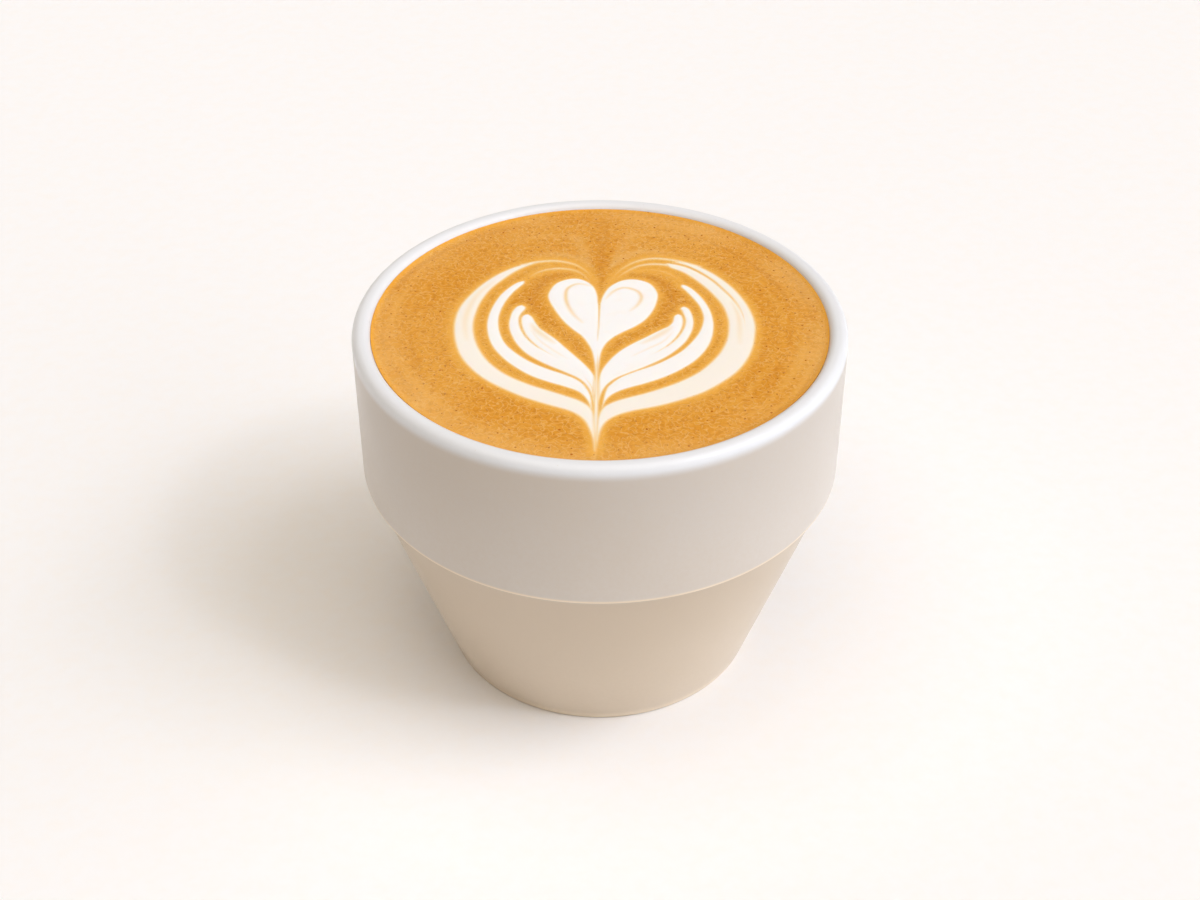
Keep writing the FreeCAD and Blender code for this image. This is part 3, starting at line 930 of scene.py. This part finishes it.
def round_corner(before: Corner, corner: Corner, after: Corner, steps: int) -> list[np.ndarray]:
    """Rounds one corner of a profile.

    Args:
        before: The corner before.
        corner: The corner to round.
        after: The corner after.
        steps: Stretches in the rounding.

    Returns:
        The points of the rounding's arc, or the corner itself where it stays sharp.
    """
    middle = corner.place()
    if corner.rounding == 0.0:
        return [middle]
    back = before.place() - middle
    ahead = after.place() - middle
    back /= np.linalg.norm(back)
    ahead /= np.linalg.norm(ahead)
    half_angle = math.acos(float(back @ ahead)) / 2
    towards = (back + ahead) / np.linalg.norm(back + ahead)
    centre = middle + towards * corner.rounding / math.sin(half_angle)
    start = middle + back * corner.rounding / math.tan(half_angle) - centre
    end = middle + ahead * corner.rounding / math.tan(half_angle) - centre
    sweep = math.pi - 2 * half_angle
    points = []
    for share in np.linspace(0.0, 1.0, steps + 1):
        weights = math.sin((1 - share) * sweep), math.sin(share * sweep)
        points.append(centre + (start * weights[0] + end * weights[1]) / math.sin(sweep))
    return points


def draw_profile(
    corners: list[Corner],
    steps: int = 10,
    longest: float = 2.5,
    margin: float = 0.2,
) -> np.ndarray:
    """Draws a half profile through its corners.

    Args:
        corners: The corners in order. The first and the last stay as they are.
        steps: Stretches in each rounding.
        longest: Length past which a straight stretch gets points of its own.
        margin: Distance of a long stretch's first and last own points from its ends.

    Returns:
        The profile's points, with the distance from the axis and the height in each row.
    """
    runs = [[corners[0].place()]]
    for before, corner, after in zip(corners, corners[1:], corners[2:]):
        runs.append(round_corner(before, corner, after, steps))
    runs.append([corners[-1].place()])
    points = list(runs[0])
    for run in runs[1:]:
        length = float(np.linalg.norm(run[0] - points[-1]))
        if length > longest:
            count = math.ceil(length / longest) + 1
            shares = [margin / length, *np.linspace(0.0, 1.0, count)[1:-1], 1 - margin / length]
            start = points[-1]
            points += [start + (run[0] - start) * share for share in shares]
        points += run
    return np.array(points)


class ShapeSketch(TreeSketch):
    """Builds one Geometry Nodes tree with short calls."""

    def __init__(self, name: str) -> None:
        """Starts a tree that takes a geometry and gives one back."""
        super().__init__(bpy.data.node_groups.new(name, "GeometryNodeTree"))
        self.tree.interface.new_socket("Geometry", in_out="INPUT", socket_type="NodeSocketGeometry")
        self.tree.interface.new_socket("Geometry", in_out="OUTPUT", socket_type="NodeSocketGeometry")
        self.source = self.tree.nodes.new("NodeGroupInput")
        self.result = self.tree.nodes.new("NodeGroupOutput")

    def named_input(self, name: str, kind: str = "Float") -> Socket:
        """Adds an input of a kind such as Int, Float or Material, and returns it."""
        self.tree.interface.new_socket(name, in_out="INPUT", socket_type=f"NodeSocket{kind}")
        return self.source.outputs[name]

    def dress(self, geometry: Socket, inputs: dict) -> Socket:
        """Realizes a geometry and gives it a material.

        Args:
            geometry: The geometry.
            inputs: The material, and the selection where only a part takes it.

        Returns:
            The dressed geometry.
        """
        whole = self.first("GeometryNodeRealizeInstances", {"Geometry": geometry})
        return self.first("GeometryNodeSetMaterial", {"Geometry": whole, **inputs})

    def finish(self, geometry: Socket) -> bpy.types.GeometryNodeTree:
        """Gives the geometry out and returns the tree."""
        self.tree.links.new(geometry, self.result.inputs[0])
        return self.tree


def stand(name: str, data: bpy.types.ID) -> bpy.types.Object:
    """Makes an object of a mesh, lamp or camera, links it to the scene and returns it."""
    thing = bpy.data.objects.new(name, data)
    bpy.context.scene.collection.objects.link(thing)
    return thing


def run_nodes(
    name: str,
    base: bpy.types.Mesh,
    tree: bpy.types.GeometryNodeTree,
    sizes: dict,
) -> bpy.types.Object:
    """Runs a tree once on a mesh and keeps the result as a plain mesh.

    Args:
        name: The new piece's name.
        base: The mesh that the tree starts from.
        tree: The Geometry Nodes tree.
        sizes: Values for the tree's named inputs.

    Returns:
        The finished object, with no modifier.
    """
    holder = stand(f"{name}_nodes", base)
    modifier = holder.modifiers.new("shape", "NODES")
    modifier.node_group = tree
    sockets = {item.name: item.identifier for item in tree.interface.items_tree if item.in_out == "INPUT"}
    for label, value in sizes.items():
        modifier[sockets[label]] = value
    graph = bpy.context.evaluated_depsgraph_get()
    mesh = bpy.data.meshes.new_from_object(holder.evaluated_get(graph), depsgraph=graph)
    mesh.name = name
    bpy.data.objects.remove(holder)
    return stand(name, mesh)


def turning_tree() -> bpy.types.GeometryNodeTree:
    """Returns the tree that turns a half profile once round the upright axis."""
    sketch = ShapeSketch("turned_on_the_wheel")
    rows = sketch.named_input("Rows", "Int")
    segments = sketch.named_input("Segments", "Int")
    finish = sketch.named_input("Finish", "Material")
    foot_finish = sketch.named_input("Foot finish", "Material")
    foot_height = sketch.named_input("Foot height")
    columns = sketch.math("ADD", segments, 1.0)
    grid = sketch.first("GeometryNodeMeshGrid", {"Vertices X": columns, "Vertices Y": rows})
    index = sketch.first("GeometryNodeInputIndex")
    column = sketch.math("FLOOR", sketch.math("DIVIDE", index, rows))
    row = sketch.math("SUBTRACT", index, sketch.math("MULTIPLY", column, rows))
    position = sketch.first("GeometryNodeInputPosition")
    sample = sketch.node("GeometryNodeSampleIndex", data_type="FLOAT_VECTOR")
    for socket, name in ((sketch.source.outputs[0], "Geometry"), (position, "Value"), (row, "Index")):
        sketch.tree.links.new(socket, sample.inputs[name])
    parts = sketch.node("ShaderNodeSeparateXYZ", {0: sample.outputs[0]}).outputs
    angle = sketch.math("MULTIPLY", sketch.math("DIVIDE", column, segments), 2 * math.pi)
    across = sketch.math("MULTIPLY", parts[0], sketch.math("COSINE", angle))
    along = sketch.math("MULTIPLY", parts[0], sketch.math("SINE", angle))
    place = sketch.first("ShaderNodeCombineXYZ", {0: across, 1: along, 2: parts[2]})
    turned = sketch.first("GeometryNodeSetPosition", {"Geometry": grid, "Position": place})
    closed = sketch.first("GeometryNodeMergeByDistance", {"Geometry": turned, "Distance": WELD_METRES})
    smooth = sketch.first("GeometryNodeSetShadeSmooth", {"Geometry": closed})
    dressed = sketch.dress(smooth, {"Material": finish})
    height = sketch.node("ShaderNodeSeparateXYZ", {0: position}).outputs[2]
    low = sketch.math("LESS_THAN", height, foot_height)
    return sketch.finish(sketch.dress(dressed, {"Selection": low, "Material": foot_finish}))


@dataclass
class Cup:
    """The handleless cup: a straight band above a tapered foot, turned in one piece."""

    rim_radius: float
    height: float
    band_height: float = 29.3
    wall: float = 3.5
    lip_rounding: float = 1.6
    band_ledge: float = 0.9
    band_edge_rounding: float = 0.5
    foot_radius: float = 30.0
    foot_rounding: float = 0.8
    taper_wall: float = 4.1
    foot_ring_width: float = 3.6
    foot_recess: float = 1.8
    recess_rounding: float = 0.7
    floor_thickness: float = 4.6
    floor_rounding: float = 9.0
    shoulder_rounding: float = 8.0
    segments: int = 288
    bare_height: float = 0.12
    # Height of the lighter band at the foot: partly thin glaze, partly painted light.
    thin_and_lit_foot: float = 2.4
    crease_degrees: float = 40.0

    def inner_radius(self) -> float:
        """Returns the radius inside the band."""
        return self.rim_radius - self.wall

    def band_foot(self) -> float:
        """Returns the height of the band's lower edge."""
        return self.height - self.band_height

    def taper_radius(self, height: float) -> float:
        """Returns the taper's outer radius at a height."""
        top = self.rim_radius - self.band_ledge
        return self.foot_radius + (top - self.foot_radius) * height / self.band_foot()

    def inside_corners(self, swell: float = 0.0) -> list[Corner]:
        """Lists the corners of the cup's inside, from the wall down to the floor's middle.

        Args:
            swell: How far the corners are moved out into the clay.

        Returns:
            The shoulder, the floor's edge and the floor's middle.
        """
        floor = self.foot_recess + self.floor_thickness
        slope = self.taper_radius(1.0) - self.taper_radius(0.0)
        shoulder = (self.inner_radius() - self.foot_radius + self.taper_wall) / slope
        floor_radius = self.taper_radius(floor) - self.taper_wall
        return [
            Corner(self.inner_radius() + swell, shoulder, self.shoulder_rounding),
            Corner(floor_radius + swell, floor - swell, self.floor_rounding),
            Corner(0.0, floor - swell),
        ]

    def profile(self) -> np.ndarray:
        """Returns the half profile, from under the foot round the lip to the floor's middle."""
        recess_radius = self.foot_radius - self.foot_ring_width
        corners = [
            Corner(0.0, self.foot_recess),
            Corner(recess_radius, self.foot_recess),
            Corner(recess_radius, 0.0, self.recess_rounding),
            Corner(self.foot_radius, 0.0, self.foot_rounding),
            Corner(self.taper_radius(self.band_foot()), self.band_foot()),
            Corner(self.rim_radius, self.band_foot(), self.band_edge_rounding),
            Corner(self.rim_radius, self.height, self.lip_rounding),
            Corner(self.inner_radius(), self.height, self.lip_rounding),
            *self.inside_corners(),
        ]
        return draw_profile(corners)

    def build(self) -> bpy.types.Object:
        """Turns the cup and dresses it in its glaze."""
        points = self.profile()
        outline = bpy.data.meshes.new("cup_profile")
        outline.from_pydata([(r * METRE, 0.0, z * METRE) for r, z in points], [], [])
        glaze = GlazeFinish(self.band_foot(), self.thin_and_lit_foot, self.height).material()
        sizes = {
            "Rows": len(points),
            "Segments": self.segments,
            "Finish": glaze,
            "Foot finish": ClayFinish().material(),
            "Foot height": self.bare_height * METRE,
        }
        cup = run_nodes("glazed_cup", outline, turning_tree(), sizes)
        cup.data.set_sharp_from_angle(angle=math.radians(self.crease_degrees))
        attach(cup, ROOT_BODY)
        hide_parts(CadNode.CUP.value)
        return cup


@dataclass
class Coffee:
    """The coffee in the cup: a level surface with the milk figure, and the body under it."""

    cup: Cup
    headspace: float = 1.15
    meniscus_reach: float = 1.1
    meniscus_rise: float = 0.35
    into_wall: float = 0.08
    rings: int = 136
    even_share: float = 0.86
    crowding: int = 4
    milk_rise: float = 0.09
    milk_start: float = -0.5
    milk_slope: float = 1.3
    vein_dip: float = 0.4
    side_steps: int = 4
    side_longest: float = 12.0
    crease_degrees: float = 50.0
    map_margin: float = 1.02
    drawing: MilkDrawing = field(default_factory=MilkDrawing)

    def level(self) -> float:
        """Returns the height of the coffee's level surface."""
        return self.cup.height - self.headspace

    def edge_radius(self) -> float:
        """Returns the radius at which the coffee meets the wall."""
        return self.cup.inner_radius() + self.into_wall

    def plan(self) -> tuple[np.ndarray, np.ndarray]:
        """Lays a square net out over the disc, with its squares wrapped round as rings.

        Returns:
            The places of the net's knots, and the four knots of each mesh of the net.
        """
        steps = np.arange(-self.rings, self.rings + 1)
        along, across = np.meshgrid(steps, steps, indexing="ij")
        ring = np.maximum(np.abs(across), np.abs(along))
        safe = np.maximum(ring, 1)
        angle = np.where(
            np.abs(across) >= np.abs(along),
            np.where(across >= 0, along / safe, 4 - along / safe),
            np.where(along >= 0, 2 - across / safe, 6 + across / safe),
        ) * math.pi / 4
        share = ring / self.rings
        share = self.even_share * share + (1 - self.even_share) * share**self.crowding
        radius = self.edge_radius() * share
        places = np.stack([radius * np.cos(angle), radius * np.sin(angle)], axis=-1).reshape(-1, 2)
        side = len(steps)
        first = (np.arange(side - 1)[:, None] * side + np.arange(side - 1)).ravel()
        return places, np.stack([first, first + 1, first + side + 1, first + side], axis=1)

    def border(self) -> np.ndarray:
        """Returns the net's outermost knots, in order round the wall."""
        side = 2 * self.rings + 1
        last = side - 1
        run = np.arange(last)
        return np.concatenate([run, run * side + last, last * side + last - run, (last - run) * side])

    def heights(self, places: np.ndarray, layers: dict[str, np.ndarray]) -> np.ndarray:
        """Works out the surface's height: level, lifted by the milk and climbing at the wall.

        Args:
            places: The surface's knots in plan.
            layers: The drawing's numbers at the knots.

        Returns:
            The height of each knot.
        """
        radius = np.hypot(*places.T)
        beyond = np.clip(radius - self.cup.inner_radius() + self.meniscus_reach, 0.0, self.meniscus_reach)
        bend = (self.meniscus_reach**2 + self.meniscus_rise**2) / (2 * self.meniscus_rise)
        climb = bend - np.sqrt(bend**2 - beyond**2)
        milk = np.clip((layers["shore"] - self.milk_start) / self.milk_slope, 0.0, 1.0)
        lifted = milk * milk * (3 - 2 * milk) * (1 - self.vein_dip * layers["vein"])
        return self.level() + climb + self.milk_rise * lifted

    def body(self, places: np.ndarray, top: np.ndarray) -> tuple[np.ndarray, list[list[int]]]:
        """Hangs the coffee's side and underside from its surface's border.

        Args:
            places: The surface's knots in plan.
            top: The same knots in space, which come first in the mesh.

        Returns:
            Every point of the closed coffee, and the faces below its surface.
        """
        below = self.border()
        corners = [Corner(self.edge_radius(), self.level()), *self.cup.inside_corners(self.into_wall)]
        side = draw_profile(corners, self.side_steps, self.side_longest)
        heading = places[below] / np.hypot(*places[below].T)[:, None]
        points = [top]
        skirt = []
        count = len(top)
        for radius, height in side[1:-1]:
            points.append(np.column_stack([heading * radius, np.full(len(below), height)]))
            ring = count + np.arange(len(below))
            skirt.append(np.stack([below, ring, np.roll(ring, -1), np.roll(below, -1)], axis=1))
            below = ring
            count += len(below)
        points.append(np.array([[0.0, 0.0, side[-1][1]]]))
        fan = np.stack([below, np.full(len(below), count), np.roll(below, -1)], axis=1)
        return np.vstack(points), [*np.vstack(skirt).tolist(), *fan.tolist()]

    def build(self) -> bpy.types.Object:
        """Builds the coffee as one closed mesh, with the drawing stored in it."""
        places, faces = self.plan()
        layers = self.drawing.layers(places)
        points, body = self.body(places, np.column_stack([places, self.heights(places, layers)]))
        mesh = bpy.data.meshes.new("coffee_surface")
        mesh.from_pydata((points * METRE).tolist(), [], [*faces.tolist(), *body])
        self.store(mesh, layers)
        mesh.shade_smooth()
        mesh.set_sharp_from_angle(angle=math.radians(self.crease_degrees))
        mesh.materials.append(CoffeeFinish(CremaFinish(self.cup.inner_radius())).material())
        piece = stand("coffee_surface", mesh)
        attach(piece, ROOT_BODY)
        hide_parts(CadNode.COFFEE.value, CadNode.MILK.value)
        return piece

    def store(self, mesh: bpy.types.Mesh, layers: dict[str, np.ndarray]) -> None:
        """Stores the drawing's layers and a flat map of the surface in the mesh.

        Args:
            mesh: The coffee's mesh.
            layers: The drawing's numbers for the surface's points, which come first in the mesh.
        """
        for name, values in layers.items():
            resting = -self.drawing.reach if name == "shore" else 0.0
            filled = np.full(len(mesh.vertices), resting, dtype=np.float32)
            filled[:len(values)] = values
            mesh.attributes.new(name, "FLOAT", "POINT").data.foreach_set("value", filled)
        corners = np.empty(len(mesh.loops), dtype=np.int32)
        mesh.loops.foreach_get("vertex_index", corners)
        points = np.empty(len(mesh.vertices) * 3)
        mesh.vertices.foreach_get("co", points)
        flat = points.reshape(-1, 3)[corners, :2]
        layout = mesh.uv_layers.new(name="OFBake")
        span = 2 * self.edge_radius() * METRE * self.map_margin
        layout.data.foreach_set("uv", (flat / span + 0.5).ravel())


def bubble_tree() -> bpy.types.GeometryNodeTree:
    """Returns the tree that scatters burst bubbles over the crema, clear of the milk."""
    sketch = ShapeSketch("burst_bubbles")
    density = sketch.named_input("Each square metre")
    spacing = sketch.named_input("Closest spacing")
    smallest = sketch.named_input("Smallest radius")
    largest = sketch.named_input("Largest radius")
    rarity = sketch.named_input("Rarity of large ones")
    squatness = sketch.named_input("Squatness")
    furthest_shore = sketch.named_input("Furthest towards milk")
    reach = sketch.named_input("Furthest from axis")
    level_enough = sketch.named_input("Least upward")
    seed = sketch.named_input("Seed", "Int")
    finish = sketch.named_input("Finish", "Material")
    shore = sketch.first("GeometryNodeInputNamedAttribute", {"Name": "shore"}, data_type="FLOAT")
    radius = sketch.length(sketch.flatten(sketch.first("GeometryNodeInputPosition")))
    upward = sketch.node("ShaderNodeSeparateXYZ", {0: sketch.first("GeometryNodeInputNormal")}).outputs[2]
    near_axis = sketch.math("LESS_THAN", radius, reach)
    on_crema = sketch.math("MULTIPLY", sketch.math("LESS_THAN", shore, furthest_shore), near_axis)
    chosen = sketch.math("MULTIPLY", on_crema, sketch.math("GREATER_THAN", upward, level_enough))
    inputs = {"Selection": chosen, "Density Max": density, "Distance Min": spacing, "Seed": seed}
    scatter = sketch.node("GeometryNodeDistributePointsOnFaces", inputs, distribute_method="POISSON")
    sketch.tree.links.new(sketch.source.outputs[0], scatter.inputs[0])
    bubble = sketch.first("GeometryNodeMeshIcoSphere", {"Radius": 1.0, "Subdivisions": 2})
    chance = sketch.node("FunctionNodeRandomValue", {"Seed": seed}, data_type="FLOAT").outputs[1]
    range_of_sizes = sketch.math("SUBTRACT", largest, smallest)
    spread = sketch.math("MULTIPLY", sketch.math("POWER", chance, rarity), range_of_sizes)
    size = sketch.math("ADD", smallest, spread)
    height = sketch.math("MULTIPLY", size, squatness)
    scale = sketch.first("ShaderNodeCombineXYZ", {0: size, 1: size, 2: height})
    inputs = {"Points": scatter.outputs[0], "Instance": bubble, "Scale": scale}
    placed = sketch.first("GeometryNodeInstanceOnPoints", inputs)
    smooth = sketch.first("GeometryNodeSetShadeSmooth", {"Geometry": placed})
    return sketch.finish(sketch.dress(smooth, {"Material": finish}))


@dataclass
class Bubbles:
    """Tiny burst bubbles, scattered over the crema."""

    coffee: Coffee
    each_square_millimetre: float = 0.3
    smallest: float = 0.08
    largest: float = 0.22
    closest: float = 1.5
    rarity: float = 1.8
    squatness: float = 0.25
    clear_of_milk: float = 1.3
    off_wall: float = 1.0
    least_upward: float = 0.9
    seed: int = 7

    def build(self, surface: bpy.types.Object) -> bpy.types.Object:
        """Scatters the bubbles over the coffee.

        Args:
            surface: The finished coffee, with the drawing in its mesh.

        Returns:
            All the bubbles as one object.
        """
        sizes = {
            "Each square metre": self.each_square_millimetre / METRE**2,
            "Closest spacing": self.closest * METRE,
            "Smallest radius": self.smallest * METRE,
            "Largest radius": self.largest * METRE,
            "Rarity of large ones": self.rarity,
            "Squatness": self.squatness,
            "Furthest towards milk": -self.clear_of_milk,
            "Furthest from axis": (self.coffee.cup.inner_radius() - self.off_wall) * METRE,
            "Least upward": self.least_upward,
            "Seed": self.seed,
            "Finish": BubbleFinish().material(),
        }
        bubbles = run_nodes("crema_bubbles", surface.data.copy(), bubble_tree(), sizes)
        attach(bubbles, ROOT_BODY)
        return bubbles


@dataclass(frozen=True)
class SoftLight:
    """A broad far light: how strong it is, how wide it looks and where it stands.

    The azimuth turns from the drinker's side, at 0 degrees, to the right, at 90.
    """

    name: str
    strength: float
    width: float
    azimuth: float
    elevation: float
    colour: tuple[float, float, float]

    def build(self) -> None:
        """Adds the light to the scene."""
        lamp = bpy.data.lights.new(self.name, "SUN")
        lamp.energy = self.strength
        lamp.angle = math.radians(self.width)
        lamp.color = self.colour
        tilt = math.pi / 2 - math.radians(self.elevation)
        stand(self.name, lamp).rotation_euler = (tilt, 0.0, math.radians(self.azimuth))


@dataclass
class Studio:
    """The table, the lights and the camera."""

    aim_height: float = 41.91
    camera_distance: float = 347.2
    camera_elevation: float = 36.96
    lens: float = 54.36
    sensor_width: float = 36.0
    clip_metres: tuple[float, float] = (0.01, 60.0)
    table_half: float = 12000.0
    backdrop_radius: float = 11000.0
    backdrop_height: float = 12000.0
    backdrop_sides: int = 64
    sky_strength: float = 0.105
    sky_colour: tuple[float, float, float] = (1.0, 0.72, 0.45)
    lights: tuple[SoftLight, ...] = (
        SoftLight("window", 0.82, 30.0, 72.0, 54.0, DAYLIGHT),
        SoftLight("lamp", 0.2, 6.0, 58.0, 50.0, DAYLIGHT),
        SoftLight("pale_wall", 1.7, 80.0, 76.0, 14.0, DAYLIGHT),
        SoftLight("far_wall", 0.45, 90.0, 215.0, 12.0, (0.98, 0.985, 1.0)),
        SoftLight("ceiling", 1.54, 60.0, -20.0, 79.0, (1.0, 0.93, 0.83)),
    )

    def prop(self, name: str, points: list, faces: list, finish: bpy.types.Material) -> bpy.types.Object:
        """Stands a part of the studio.

        Args:
            name: Its name.
            points: Its points, in metres.
            faces: Its faces, as numbers of points.
            finish: Its material.

        Returns:
            The new object.
        """
        mesh = bpy.data.meshes.new(name)
        mesh.from_pydata(points, [], faces)
        mesh.materials.append(finish)
        thing = stand(name, mesh)
        return thing

    def table(self) -> None:
        """Lays the table top."""
        half = self.table_half * METRE
        corners = [(-half, -half, 0.0), (half, -half, 0.0), (half, half, 0.0), (-half, half, 0.0)]
        self.prop("table_top", corners, [(0, 1, 2, 3)], TableFinish().material())

    def backdrop(self) -> None:
        """Stands a pale wall far behind everything, which only the camera sees."""
        sketch = ShaderSketch("pale_distance")
        glow = sketch.first("ShaderNodeEmission", {"Color": Tint.HORIZON})
        sketch.tree.links.new(glow, sketch.output.inputs[0])
        radius = self.backdrop_radius * METRE
        angles = np.linspace(0.0, 2 * math.pi, self.backdrop_sides, endpoint=False)
        heights = -self.backdrop_height * METRE, self.backdrop_height * METRE
        points = [(radius * math.cos(a), radius * math.sin(a), height) for height in heights for a in angles]
        low = np.arange(self.backdrop_sides)
        after = np.roll(low, -1)
        faces = np.stack([after, low, low + self.backdrop_sides, after + self.backdrop_sides], axis=1)
        wall = self.prop("backdrop", points, faces.tolist(), sketch.material)
        wall.visible_diffuse = False
        wall.visible_glossy = False
        wall.visible_shadow = False

    def light(self) -> None:
        """Lights the scene with a dim warm sky and the soft lights."""
        world = bpy.data.worlds.new("warm_room")
        world.use_nodes = True
        background = world.node_tree.nodes["Background"]
        background.inputs[0].default_value = (*self.sky_colour, 1.0)
        background.inputs[1].default_value = self.sky_strength
        bpy.context.scene.world = world
        for soft_light in self.lights:
            soft_light.build()
        view = bpy.context.scene.view_settings
        view.view_transform = "Standard"
        view.look = "None"

    def camera(self) -> None:
        """Sets the camera up in front of the cup, looking down on it."""
        camera = bpy.data.cameras.new("camera")
        camera.lens = self.lens
        camera.sensor_width = self.sensor_width
        camera.clip_start, camera.clip_end = self.clip_metres
        elevation = math.radians(self.camera_elevation)
        reach = self.camera_distance * METRE
        height = self.aim_height * METRE + reach * math.sin(elevation)
        holder = stand("camera", camera)
        holder.location = (0.0, -reach * math.cos(elevation), height)
        holder.rotation_euler = (math.pi / 2 - elevation, 0.0, 0.0)
        bpy.context.scene.camera = holder

    def build(self) -> None:
        """Sets up the whole studio."""
        self.camera()
        self.table()
        self.backdrop()
        self.light()


def report(piece: bpy.types.Object) -> None:
    """Logs one piece's name and how many faces it has."""
    LOG.info("%s: %d faces", piece.name, len(piece.data.polygons))


def main() -> None:
    """Builds the latte and its studio."""
    logging.basicConfig(level=logging.INFO, format="%(name)s %(message)s")
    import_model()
    low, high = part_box(CadNode.CUP.value)
    studio = Studio()
    studio.build()
    cup = Cup(rim_radius=(high[0] - low[0]) / 2 / METRE, height=high[2] / METRE)
    report(cup.build())
    coffee = Coffee(cup)
    surface = coffee.build()
    report(surface)
    report(Bubbles(coffee).build(surface))


if __name__ == "__main__":
    main()
